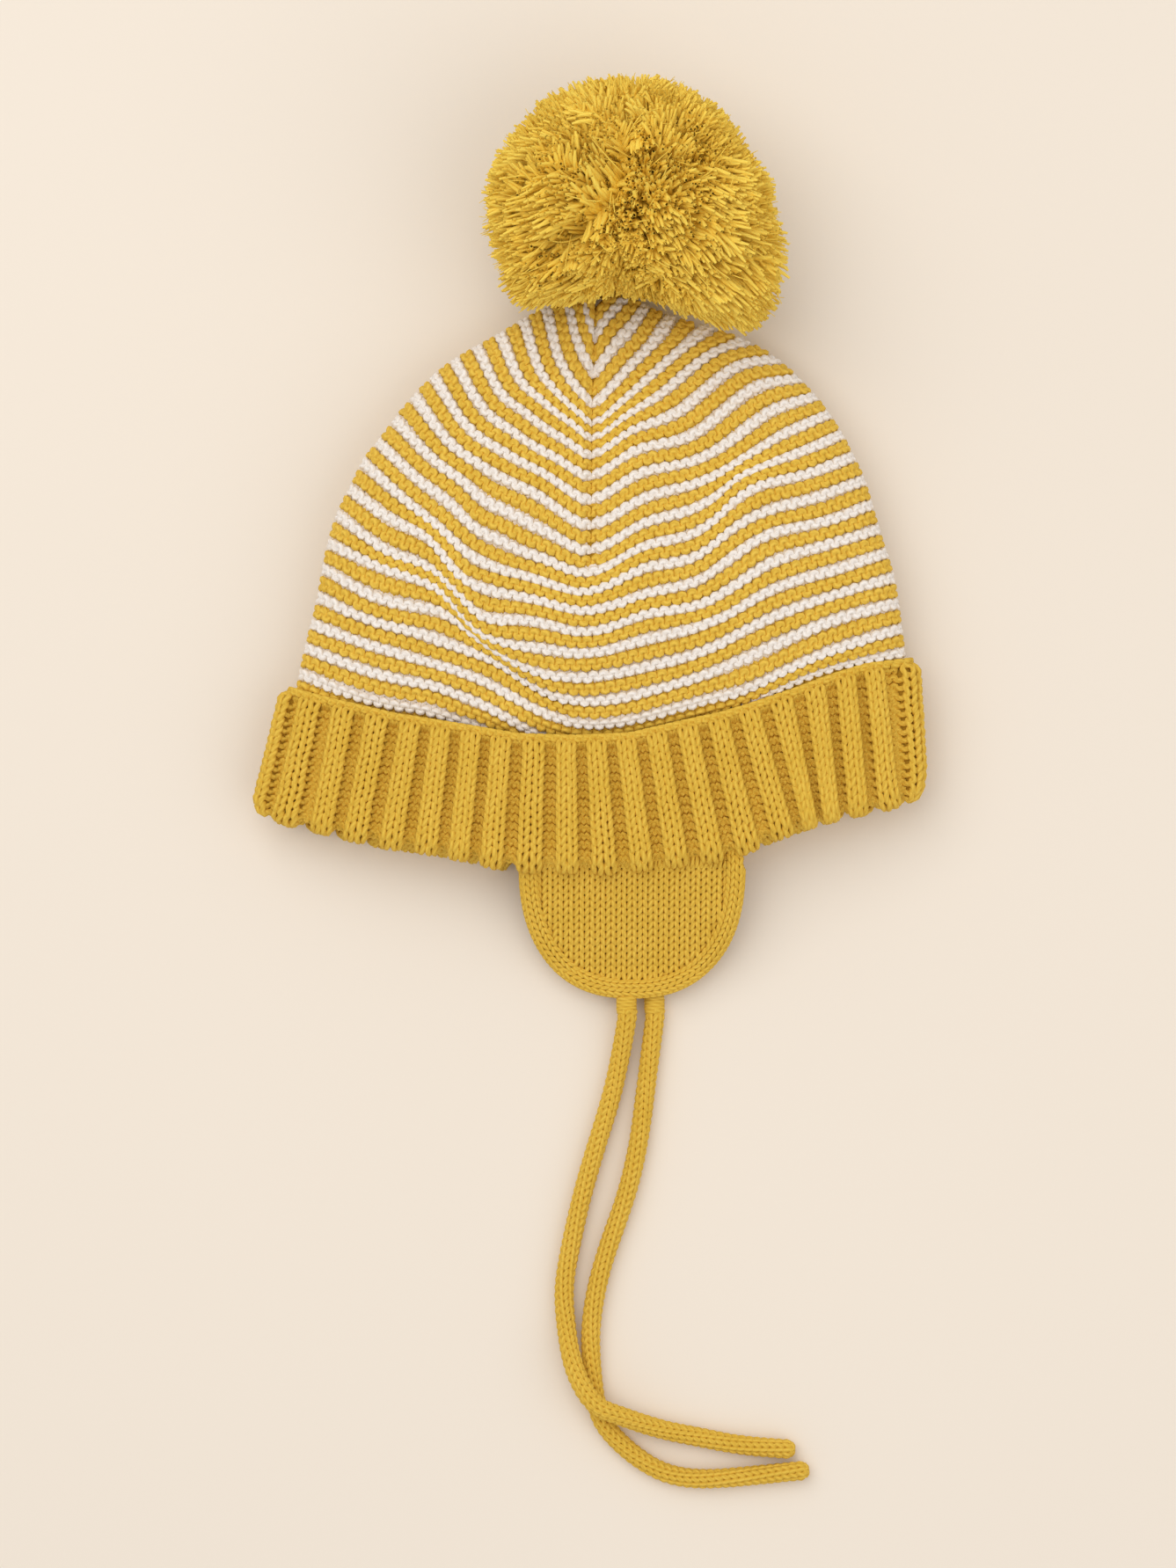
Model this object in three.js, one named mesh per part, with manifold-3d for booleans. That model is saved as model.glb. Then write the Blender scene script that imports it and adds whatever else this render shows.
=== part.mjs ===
// A baby's bobble hat, lying flat on its side: striped crown, turned-up rib cuff, two ear flaps
// with knitted ties, and a yarn pompom. Millimetres.
// +X runs across the hat, +Y from the mouth of the hat towards the pompom, +Z up from the surface
// it lies on. The origin is the middle of the hat's footprint, ties left out, on that surface.
// "Near" is the upper side as it lies, "far" the side against the surface.
import * as THREE from 'three';
import { mergeVertices } from 'three/addons/utils/BufferGeometryUtils.js';
import Module from 'manifold-3d';

const wasm = await Module();
wasm.setup();

// ---- driving dimensions ------------------------------------------------------------------
const PLY = 3.5; // thickness of one ply of knitting
const GAP = 0.3; // clearance kept between neighbouring pieces
const SECTION_POWER = 2.7; // squareness of the flattened tube's section, 2 is an ellipse
const FLAT_SHARE = 1.15; // widens the underside's flat middle

// Cuff: corners of its lower and upper edge, left, at the middle, and right.
const CUFF_LOWER = [[-94.25, -73], [2, -92.8], [94.25, -69.5]];
const CUFF_UPPER = [[-86.2, -41.5], [-1, -55.6], [92.7, -33.6]];
const CUFF_HEIGHTS = { middle: 12.15, crest: 24.3, under: 0 };
const BAND_SPAN = [0.02, 0.91]; // how much of the cuff's height the inner ply takes

// Crown: left outline, centre seam and right outline from the cuff up to the gathered top.
const CROWN_LEFT = [[-81.4, -43.8], [-79.5, -22], [-72.5, 8], [-57, 34.5], [-33, 56], [-4.5, 69.4]];
const CROWN_SEAM = [[-1, -57.7], [0, -33], [0.5, -6], [1, 22], [1.5, 46], [1.5, 67.2]];
const CROWN_RIGHT = [[88, -35.9], [88.5, -17], [80.5, 12], [66, 41], [42, 60], [7.5, 69.4]];
const CROWN_CREST = [19.8, 26.5, 30, 29, 24, 17];
const CROWN_MIDDLE = [12.15, 12.6, 13, 12.6, 11.6, 10.5];
const CROWN_UNDER = [3.8, 0.4, 0, 0, 0.4, 4];
const DART = { width: 3.2, height: 2.4, from: 0.47, to: 0.87 }; // seam allowance inside the crown

// Gathered top, its knot, and the point that the pompom leans about.
const TOP = new THREE.Vector3(1.5, 71.6, 10.5);
const GATHER = { ring: 4, yarn: 1.5 };
const KNOT = { centre: [1.5, 63.4, 10.5], size: [3.2, 2.6, 2.6] };
const TAILS = { radius: 1.1, from: -2, to: 8.5 };

// Pompom.
const POM_CENTRE = new THREE.Vector3(12, 95, 33.2);
const POM_SIZE = new THREE.Vector3(41.2, 35.3, 33.2);
const POM_PART = { through: [5, 100], turn: 0.27, gap: 0.6 }; // plane between its two lobes
const POM_CORE = { radius: 8, width: 3.4 }; // recess for the binding thread
const POM_BINDING = { ring: 6, yarn: 1.1 };
const POM_LEAN = THREE.MathUtils.degToRad(20); // sway each way that the crown clears
const POM_CLEAR = 10; // ball of free space round the gathered top
const POM_SEAT = [[74, -5], [74, 20], [50, 39], [50, -5]]; // side view of the room over the crown

// Ear flaps: rounded tongues, hinged just outside the cuff's lower edge.
const FLAP_X = 12.1;
const FLAP_HALF = 32.3;
const FLAP_ROOT_Y = -96.3;
const FLAP_TIP_Y = -130.3;
const FLAP_BASE_Y = -92; // where the flap's outline would be widest
const FLAP_POWER = 2.35;
const FLAP_PLY = 3.9;
const BORDER = 5.4; // width of the knitted edge
const NEAR_SLOPE = [[-97.5, 15.0], [-120, 6.35]]; // height of the near flap's middle, by y
const FAR_SLOPE = [[-97.5, 9.6], [-120, 1.95]];
const ROOT_SEAM = { from: -87.5, to: -94.2, thickness: 3.2 };

// Ties: knitted cords. Routes are centrelines from the flap's tip to the free end.
const TIE_RADIUS = 2.85;
const TIE_SIDES = 10;
const TIE_STEPS = 44;
const TACK = { from: -130.7, to: -133.5 };
const NEAR_TIE = [
  [10.6, -136.8, 5.4], [9, -146, 3.6], [6.6, -157, 2.9], [3.25, -168.5, 2.87], [-2, -186.5, 2.87],
  [-5.5, -202, 2.87], [-7.2, -214.25, 2.95], [-6.6, -224, 3.9], [-4.9, -233.5, 7.0],
  [-2.1, -240.5, 8.8], [2.4, -246.1, 9.1], [8.2, -248.9, 7.9], [15, -251.6, 5.3], [23, -254.1, 3.5],
  [32, -256, 2.9], [41, -257.75, 2.87], [50.25, -258.8, 2.87], [58.5, -259.4, 2.87],
];
const FAR_TIE = [
  [18.6, -136.8, 2.87], [17.3, -147, 2.87], [15.9, -158, 2.87], [14.5, -168.5, 2.87],
  [10.5, -186.5, 2.87], [5.2, -202, 2.87], [1.9, -214.25, 2.87], [0.4, -226.25, 2.87],
  [0.6, -235.25, 2.87], [1.5, -243.5, 2.87], [3.4, -250.5, 2.87], [7.75, -256.4, 2.87],
  [13.75, -261.6, 2.87], [21, -265.75, 2.87], [29, -267.6, 2.87], [38, -267.6, 2.87],
  [47.25, -266.8, 2.87], [56.25, -265.9, 2.87], [62.5, -265.3, 2.87],
];

// ---- materials ---------------------------------------------------------------------------
const knit = (color, roughness) => new THREE.MeshStandardMaterial({ color, roughness, metalness: 0 });
const MUSTARD = 0xd4a935;
const MUSTARD_DEEP = 0xb98a1e;
const CREAM = 0xefe8de;

// ---- solids ------------------------------------------------------------------------------
/** The geometry with its shared corners joined, so that it is one closed body. */
function closed(geometry) {
  geometry.deleteAttribute('normal');
  geometry.deleteAttribute('uv');
  return mergeVertices(geometry, 1e-4);
}

/** A slab of columns by rows cells: place(u, v, w) says where each corner goes, w rising with z. */
function slab(columns, rows, place) {
  const geometry = new THREE.BoxGeometry(1, 1, 1, columns, rows, 1);
  const corner = geometry.getAttribute('position');
  for (let i = 0; i < corner.count; i += 1) {
    const point = place(corner.getX(i) + 0.5, corner.getY(i) + 0.5, corner.getZ(i) + 0.5);
    corner.setXYZ(i, point.x, point.y, point.z);
  }
  return closed(geometry);
}

function solid(geometry) {
  const merged = closed(geometry);
  return new wasm.Manifold(new wasm.Mesh({
    numProp: 3,
    vertProperties: new Float32Array(merged.getAttribute('position').array),
    triVerts: new Uint32Array(merged.index.array),
  }));
}

function geometryOf(manifold) {
  const mesh = manifold.getMesh();
  const geometry = new THREE.BufferGeometry();
  geometry.setAttribute('position', new THREE.BufferAttribute(new Float32Array(mesh.vertProperties), 3));
  geometry.setIndex(new THREE.BufferAttribute(new Uint32Array(mesh.triVerts), 1));
  return geometry;
}

/** A cord of even section along a curve. */
function tube(curve, radius, sides, steps) {
  const rim = Array.from({ length: sides }, (_, i) => {
    const angle = (2 * Math.PI * i) / sides;
    return new THREE.Vector2(radius * Math.cos(angle), radius * Math.sin(angle));
  });
  return new THREE.ExtrudeGeometry(new THREE.Shape(rim), { steps, extrudePath: curve, bevelEnabled: false });
}

/** A ring of yarn whose axis is axis, centred on centre. */
function yarnRing(centre, axis, ring, yarn) {
  const geometry = new THREE.TorusGeometry(ring, yarn, 8, 20);
  const turn = new THREE.Quaternion().setFromUnitVectors(new THREE.Vector3(0, 0, 1), axis);
  geometry.applyQuaternion(turn);
  geometry.translate(centre.x, centre.y, centre.z);
  return closed(geometry);
}

// ---- the flattened tube of the hat ---------------------------------------------------------
const vectors = (list) => list.map(([x, y]) => new THREE.Vector2(x, y));
const outlines = [CROWN_LEFT, CROWN_SEAM, CROWN_RIGHT].map((list) => new THREE.SplineCurve(vectors(list)));

/** The value at v, from 0 to 1, of evenly spaced values joined smoothly. */
function along(values, v) {
  const at = THREE.MathUtils.clamp(v, 0, 1) * (values.length - 1);
  const i = Math.min(Math.floor(at), values.length - 2);
  return THREE.MathUtils.lerp(values[i], values[i + 1], THREE.MathUtils.smoothstep(at - i, 0, 1));
}

/** One course of the crown: where it meets the left outline, the seam and the right outline. */
function crownCourse(v) {
  const [left, seam, right] = outlines.map((curve) => curve.getPoint(v));
  const heights = {
    middle: along(CROWN_MIDDLE, v),
    crest: along(CROWN_CREST, v),
    under: Math.max(0, along(CROWN_UNDER, v)),
  };
  return { left, seam, right, ...heights };
}

function cuffCourse(v) {
  const [left, seam, right] = CUFF_LOWER.map(([x, y], i) => new THREE.Vector2(
    THREE.MathUtils.lerp(x, CUFF_UPPER[i][0], v),
    THREE.MathUtils.lerp(y, CUFF_UPPER[i][1], v),
  ));
  return { left, seam, right, ...CUFF_HEIGHTS };
}

/** How far a course has bent from the seam, 0, to the side edge, 1: nearly straight past the middle. */
function bend(share) {
  const soft = 0.2;
  return (Math.hypot(share, soft) - soft) / (Math.hypot(1, soft) - soft);
}

/** A point of the tube's skin, inset mm below it. u runs from the left edge to the right edge. */
function skin(course, side, u, inset) {
  const angle = Math.PI * u;
  const power = 2 / SECTION_POWER;
  const share = -Math.sign(Math.cos(angle)) * Math.abs(Math.cos(angle)) ** power;
  const rise = Math.max(0, Math.sin(angle)) ** power;
  const edge = share < 0 ? course.left : course.right;
  const reach = Math.abs(share);
  const inward = Math.sign(share) * inset * reach;
  const x = THREE.MathUtils.lerp(course.seam.x, edge.x, reach) - inward;
  const y = THREE.MathUtils.lerp(course.seam.y, edge.y, bend(reach));
  const z = side === 'near'
    ? course.middle + GAP / 2 + (course.crest - inset - course.middle) * rise
    : course.middle - GAP / 2
      - (course.middle - course.under - inset - GAP / 2) * Math.min(1, FLAT_SHARE * rise);
  return new THREE.Vector3(x, y, z);
}

/** One ply of one side of the tube, depth mm below the skin, over a span of its courses. */
function ply(courseAt, side, { depth = 0, span = [0, 1], columns, rows }) {
  return slab(columns, rows, (u, v, w) => {
    const inset = depth + PLY * (side === 'near' ? 1 - w : w);
    return skin(courseAt(THREE.MathUtils.lerp(span[0], span[1], v)), side, u, inset);
  });
}

/** The seam allowance that stands inside the crown under the dart. */
function dartSeam(side) {
  return slab(2, 12, (u, v, w) => {
    const course = crownCourse(THREE.MathUtils.lerp(DART.from, DART.to, v));
    const x = course.seam.x + DART.width * (u - 0.5);
    const face = PLY + GAP + (side === 'near' ? DART.height * (1 - w) : DART.height * w);
    const z = side === 'near' ? course.crest - face - GAP : course.under + face + GAP;
    return new THREE.Vector3(x, course.seam.y, z);
  });
}

// ---- pompom ------------------------------------------------------------------------------
const partingNormal = new THREE.Vector3(Math.cos(POM_PART.turn), -Math.sin(POM_PART.turn), 0);
const partingPoint = new THREE.Vector3(...POM_PART.through, POM_CENTRE.z);

/** A half space on one side of the parting plane, as a large block. */
function halfSpace(sign) {
  const reach = 200;
  const block = new THREE.BoxGeometry(reach, reach, reach);
  block.rotateZ(-POM_PART.turn);
  const away = partingNormal.clone().multiplyScalar(sign * (reach / 2 + POM_PART.gap / 2));
  block.translate(partingPoint.x + away.x, partingPoint.y + away.y, partingPoint.z);
  return solid(block);
}

/** The room that the crown takes under the pompom, turned by lean about the gathered top. */
function crownRoom(lean) {
  const width = 160;
  const shape = new THREE.Shape(vectors(POM_SEAT));
  const wedge = new THREE.ExtrudeGeometry(shape, { depth: width, bevelEnabled: false });
  const axes = new THREE.Matrix4().makeBasis(
    new THREE.Vector3(0, 1, 0),
    new THREE.Vector3(0, 0, 1),
    new THREE.Vector3(1, 0, 0),
  );
  wedge.applyMatrix4(axes);
  wedge.translate(TOP.x - width / 2, -TOP.y, 0);
  wedge.translate(-TOP.x, 0, 0);
  wedge.rotateZ(lean);
  wedge.translate(TOP.x, TOP.y, 0);
  return solid(wedge);
}

/** The recess round the middle of the pompom where the binding thread lies. */
function bindingRecess() {
  const recess = new THREE.CylinderGeometry(POM_CORE.radius, POM_CORE.radius, POM_CORE.width, 24);
  recess.rotateZ(-Math.PI / 2 - POM_PART.turn);
  recess.translate(partingPoint.x, partingPoint.y, partingPoint.z);
  return solid(recess);
}

function pomLobe(sign) {
  const ball = new THREE.SphereGeometry(1, 30, 20);
  ball.rotateX(Math.PI / 2);
  ball.scale(POM_SIZE.x, POM_SIZE.y, POM_SIZE.z);
  ball.translate(POM_CENTRE.x, POM_CENTRE.y, POM_CENTRE.z);
  const clear = new THREE.SphereGeometry(POM_CLEAR, 20, 12);
  clear.translate(TOP.x, TOP.y, TOP.z);
  const room = [-POM_LEAN, 0, POM_LEAN].reduce((all, lean) => all.add(crownRoom(lean)), solid(clear));
  return geometryOf(solid(ball).intersect(halfSpace(sign)).subtract(room).subtract(bindingRecess()));
}

/** The two ends of the binding thread, twisted together, from the gathered top into the pompom. */
function anchorTails() {
  const end = new THREE.Vector3(TOP.x, TOP.y + TAILS.to, TOP.z);
  const start = new THREE.Vector3(TOP.x, TOP.y + TAILS.from, TOP.z);
  return closed(tube(new THREE.LineCurve3(start, end), TAILS.radius, 8, 4));
}

function anchorKnot() {
  const knot = new THREE.SphereGeometry(1, 14, 10);
  knot.scale(...KNOT.size);
  knot.translate(...KNOT.centre);
  return closed(knot);
}

// ---- ear flaps ---------------------------------------------------------------------------
/** Height of a flap's middle at y: a slope down from the cuff, then level. */
function flapHeight(slope, y) {
  const [[rootY, rootZ], [levelY, levelZ]] = slope;
  const share = THREE.MathUtils.clamp((rootY - y) / (rootY - levelY), -0.2, 1);
  return THREE.MathUtils.lerp(rootZ, levelZ, share);
}

/** Half the flap's width at y, inset mm inside its outline. */
function flapHalf(y, inset) {
  const deep = (FLAP_BASE_Y - y) / (FLAP_BASE_Y - FLAP_TIP_Y - inset);
  return (FLAP_HALF - inset) * (1 - Math.min(1, Math.max(0, deep)) ** FLAP_POWER) ** (1 / FLAP_POWER);
}

/** The middle of the flap, inside its border. */
function flapPanel(slope) {
  const inset = BORDER + GAP;
  const endY = FLAP_TIP_Y + inset + 0.5;
  return slab(10, 14, (u, v, w) => {
    const y = THREE.MathUtils.lerp(endY, FLAP_ROOT_Y, v);
    const x = FLAP_X + flapHalf(y, inset) * (2 * u - 1);
    return new THREE.Vector3(x, y, flapHeight(slope, y) + FLAP_PLY * (w - 0.5));
  });
}

/** A point of the flap's outline: turn runs from 0 at its left root to 1 at its right root. */
function flapRim(turn, inset) {
  const angle = Math.PI * turn;
  const power = 2 / FLAP_POWER;
  const depth = FLAP_BASE_Y - FLAP_TIP_Y - inset;
  const x = FLAP_X - Math.sign(Math.cos(angle)) * Math.abs(Math.cos(angle)) ** power * (FLAP_HALF - inset);
  const y = FLAP_BASE_Y - Math.max(0, Math.sin(angle)) ** power * depth;
  return new THREE.Vector2(x, y);
}

/** The knitted edge that runs round the flap. */
function flapBorder(slope) {
  const rootTurn = 0.0105; // where the outline passes the root line
  return slab(34, 1, (u, v, w) => {
    const rim = flapRim(THREE.MathUtils.lerp(rootTurn, 1 - rootTurn, u), BORDER * v);
    const y = Math.min(rim.y, FLAP_ROOT_Y);
    return new THREE.Vector3(rim.x, y, flapHeight(slope, y) + FLAP_PLY * (w - 0.5));
  });
}

/** The seam that joins a flap to the inside of the cuff. */
function rootSeam(slope) {
  const width = 2 * (FLAP_HALF - BORDER);
  return slab(6, 2, (u, v, w) => {
    const y = THREE.MathUtils.lerp(ROOT_SEAM.to, ROOT_SEAM.from, v);
    const z = slope[0][1] + ROOT_SEAM.thickness * (w - 0.5);
    return new THREE.Vector3(FLAP_X + width * (u - 0.5), y, z);
  });
}

// ---- ties --------------------------------------------------------------------------------
/** The stitched end of a tie, held on the flap's tip. */
function tack(route) {
  const [x, , z] = route[0];
  const start = new THREE.Vector3(x, TACK.from, z);
  const end = new THREE.Vector3(x, TACK.to, z);
  return closed(tube(new THREE.LineCurve3(start, end), TIE_RADIUS, TIE_SIDES, 1));
}

/** A tie along its route. Its first end is round, about the point where it bends from the flap. */
function tie(route) {
  const points = route.map(([x, y, z]) => new THREE.Vector3(x, y, z));
  const curve = new THREE.CatmullRomCurve3(points, false, 'centripetal');
  const knuckle = new THREE.SphereGeometry(TIE_RADIUS, 12, 8);
  knuckle.translate(points[0].x, points[0].y, points[0].z);
  return geometryOf(solid(tube(curve, TIE_RADIUS, TIE_SIDES, TIE_STEPS)).add(solid(knuckle)));
}

// ---- the hat -----------------------------------------------------------------------------
const hat = new THREE.Group();

function addPiece(name, geometry, color, roughness = 0.9) {
  const mesh = new THREE.Mesh(geometry, knit(color, roughness));
  mesh.name = name;
  hat.add(mesh);
}

for (const side of ['near', 'far']) {
  addPiece(`crown_${side}_panel`, ply(crownCourse, side, { columns: 26, rows: 22 }), CREAM);
  addPiece(`crown_${side}_dart_seam`, dartSeam(side), MUSTARD_DEEP);
  addPiece(`cuff_${side}_turnup`, ply(cuffCourse, side, { columns: 26, rows: 4 }), MUSTARD);
  addPiece(
    `cuff_${side}_band`,
    ply(cuffCourse, side, { depth: PLY + GAP, span: BAND_SPAN, columns: 26, rows: 4 }),
    MUSTARD_DEEP,
  );
}
addPiece('crown_top_gather', yarnRing(TOP, new THREE.Vector3(0, 1, 0), GATHER.ring, GATHER.yarn), MUSTARD_DEEP);
addPiece('pom_anchor_knot', anchorKnot(), MUSTARD_DEEP);
addPiece('pom_anchor_tails', anchorTails(), MUSTARD_DEEP);
addPiece('pom_left_lobe', pomLobe(-1), MUSTARD, 1);
addPiece('pom_right_lobe', pomLobe(1), MUSTARD, 1);
addPiece(
  'pom_binding_thread',
  yarnRing(partingPoint, partingNormal, POM_BINDING.ring, POM_BINDING.yarn),
  MUSTARD_DEEP,
);

const flaps = [
  { side: 'near', slope: NEAR_SLOPE, route: NEAR_TIE },
  { side: 'far', slope: FAR_SLOPE, route: FAR_TIE },
];
for (const { side, slope, route } of flaps) {
  addPiece(`flap_${side}_root_seam`, rootSeam(slope), MUSTARD_DEEP);
  addPiece(`flap_${side}_panel`, flapPanel(slope), MUSTARD);
  addPiece(`flap_${side}_border`, flapBorder(slope), MUSTARD);
  addPiece(`tie_${side}_tack`, tack(route), MUSTARD_DEEP);
  addPiece(`tie_${side}`, tie(route), MUSTARD);
}

export default hat;
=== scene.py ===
"""The looks of a baby's bobble hat that lies flat on its side, knitted stitch by stitch.

Lengths are in millimetres until a mesh is made. +X runs across the hat, +Y from its mouth
towards the pompom and +Z up from the surface that it lies on. "Near" is the upper side as it
lies, "far" the side against the surface.
"""

import math

import bpy
import numpy as np
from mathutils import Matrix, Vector


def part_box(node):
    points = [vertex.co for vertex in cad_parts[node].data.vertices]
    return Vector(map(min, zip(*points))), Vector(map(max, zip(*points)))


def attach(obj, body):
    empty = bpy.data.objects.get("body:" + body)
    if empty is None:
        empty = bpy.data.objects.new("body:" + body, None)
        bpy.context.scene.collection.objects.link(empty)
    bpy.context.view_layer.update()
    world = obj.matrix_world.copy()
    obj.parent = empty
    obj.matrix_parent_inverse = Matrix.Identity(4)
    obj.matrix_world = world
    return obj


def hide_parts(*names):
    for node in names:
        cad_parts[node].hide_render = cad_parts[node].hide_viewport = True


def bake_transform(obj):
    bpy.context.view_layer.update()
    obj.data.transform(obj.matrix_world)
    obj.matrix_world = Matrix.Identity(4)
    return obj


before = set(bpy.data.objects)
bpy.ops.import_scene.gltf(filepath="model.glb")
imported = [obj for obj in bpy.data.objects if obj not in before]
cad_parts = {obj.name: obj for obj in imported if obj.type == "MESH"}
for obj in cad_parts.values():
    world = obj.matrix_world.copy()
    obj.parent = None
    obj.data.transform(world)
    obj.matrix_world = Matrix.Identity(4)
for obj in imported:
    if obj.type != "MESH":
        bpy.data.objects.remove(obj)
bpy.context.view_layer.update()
MM = 0.001
SAMPLES = 12  # points along one stitch
rng = np.random.default_rng(7)


# ---- small tools -----------------------------------------
def unit(v):
    return v / np.maximum(np.linalg.norm(v, axis=-1, keepdims=True), 1e-9)


def node_corners(*nodes):
    """The lowest and highest corner, in mm, of the box round these CAD nodes at rest."""
    boxes = np.array([[list(corner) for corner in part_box(node)] for node in nodes]) / MM
    return boxes[:, 0].min(axis=0), boxes[:, 1].max(axis=0)


def middle_of(*nodes):
    low, high = node_corners(*nodes)
    return (low + high) / 2


def smooth(x):
    x = np.clip(x, 0.0, 1.0)
    return x * x * (3 - 2 * x)


def spline(knots, values, at):
    """Natural cubic spline through values (one row per knot), read at the places given."""
    knots, values = np.asarray(knots, float), np.asarray(values, float)
    flat = values.reshape(len(knots), -1)
    h = np.diff(knots)
    n = len(knots)
    system, right = np.eye(n), np.zeros((n, flat.shape[1]))
    for i in range(1, n - 1):
        system[i, i - 1 : i + 2] = h[i - 1], 2 * (h[i - 1] + h[i]), h[i]
        right[i] = 6 * ((flat[i + 1] - flat[i]) / h[i] - (flat[i] - flat[i - 1]) / h[i - 1])
    bend = np.linalg.solve(system, right)
    at = np.asarray(at, float)
    i = np.clip(np.searchsorted(knots, at) - 1, 0, n - 2)
    a, b, w = (knots[i + 1] - at)[:, None], (at - knots[i])[:, None], h[i][:, None]
    out = (bend[i] * a**3 + bend[i + 1] * b**3) / (6 * w)
    out += (flat[i] / w - bend[i] * w / 6) * a + (flat[i + 1] / w - bend[i + 1] * w / 6) * b
    return out.reshape((len(at),) + values.shape[1:])


def lengths(points):
    """Distance run along a line of points, from its first."""
    steps = np.linalg.norm(np.diff(points, axis=0), axis=1)
    return np.concatenate([[0.0], np.cumsum(steps)])


class Sheet:
    """A smooth surface held as a grid of points, read at (row, column) numbers."""

    def __init__(self, points, flip=False):
        self.points = points
        along = np.gradient(points, axis=1)
        across = np.gradient(points, axis=0)
        normal = np.cross(along, across)
        self.normals = unit(-normal if flip else normal)

    def read(self, grid, row, column):
        rows, columns = grid.shape[:2]
        row = np.clip(row, 0, rows - 1.001)
        column = np.clip(column, 0, columns - 1.001)
        i, j = row.astype(int), column.astype(int)
        u, v = (row - i)[..., None], (column - j)[..., None]
        low = grid[i, j] * (1 - v) + grid[i, j + 1] * v
        high = grid[i + 1, j] * (1 - v) + grid[i + 1, j + 1] * v
        return low * (1 - u) + high * u

    def at(self, row, column, off=0.0):
        """Points off mm outside the surface, and the directions out of it."""
        normal = unit(self.read(self.normals, row, column))
        return self.read(self.points, row, column) + normal * np.asarray(off)[..., None], normal


def mesh_piece(name, points, faces, material, uv=None):
    mesh = bpy.data.meshes.new(name)
    mesh.vertices.add(len(points))
    mesh.vertices.foreach_set("co", (np.asarray(points) * MM).astype(np.float32).ravel())
    mesh.loops.add(faces.size)
    mesh.loops.foreach_set("vertex_index", faces.astype(np.int32).ravel())
    mesh.polygons.add(len(faces))
    mesh.polygons.foreach_set("loop_start", np.arange(0, faces.size, faces.shape[1], dtype=np.int32))
    mesh.update(calc_edges=True)
    mesh.validate()
    mesh.polygons.foreach_set("use_smooth", np.ones(len(mesh.polygons), bool))
    if uv is not None:
        mesh.uv_layers.new(name="Yarn").data.foreach_set("uv", uv.astype(np.float32).ravel())
    mesh.materials.append(material)
    piece = bpy.data.objects.new(name, mesh)
    bpy.context.collection.objects.link(piece)
    return piece


def sweep(strands, radius, sides=6, tips=0.35, root=0.0, pitch=3.0):
    """Yarn along each strand, a pair (points, outward directions), thicker at its root if asked."""
    points, faces, uvs, used = [], [], [], 0
    turn = 2 * math.pi * np.arange(sides) / sides
    ring = np.arange(sides)
    for number, (line, out) in enumerate(strands):
        n = len(line)
        thick = radius[number] if np.ndim(radius) else radius
        tangent = unit(np.gradient(line, axis=0))
        side = unit(np.cross(tangent, out))
        up = np.cross(side, tangent)
        size = np.full(n, thick)
        size[[0, -1]] *= tips
        size *= 1 + root * np.linspace(1, 0, n) ** 2
        skin = line[:, None] + size[:, None, None] * (
            np.cos(turn)[None, :, None] * side[:, None] + np.sin(turn)[None, :, None] * up[:, None]
        )
        points.append(skin.reshape(-1, 3))
        i = np.arange(n - 1)[:, None] * sides + used
        a, b = i + ring, i + (ring + 1) % sides
        faces.append(np.stack([a, a + sides, b + sides, b], axis=-1).reshape(-1, 4))
        run = (lengths(line) / pitch)[:, None]
        start, end = np.broadcast_to(run[:-1], (n - 1, sides)), np.broadcast_to(run[1:], (n - 1, sides))
        low = np.broadcast_to(ring / sides, (n - 1, sides))
        high = low + 1 / sides
        loop = ((start, low), (end, low), (end, high), (start, high))
        uv = np.stack([np.stack(p, -1) for p in loop], 2)
        uvs.append(uv.reshape(-1, 2))
        used += n * sides
    return np.concatenate(points), np.concatenate(faces), np.concatenate(uvs)


def yarn_piece(name, strands, radius, material, sides=6, tips=0.35, root=0.0):
    points, faces, uv = sweep(strands, radius, sides, tips, root)
    return mesh_piece(name, points, faces, material, uv)


def grid_faces(rows, columns, flip=False):
    i = (np.arange(rows - 1)[:, None] * columns + np.arange(columns - 1)).ravel()
    order = [i, i + 1, i + columns + 1, i + columns]
    return np.stack(order[::-1] if flip else order, axis=-1)


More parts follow.
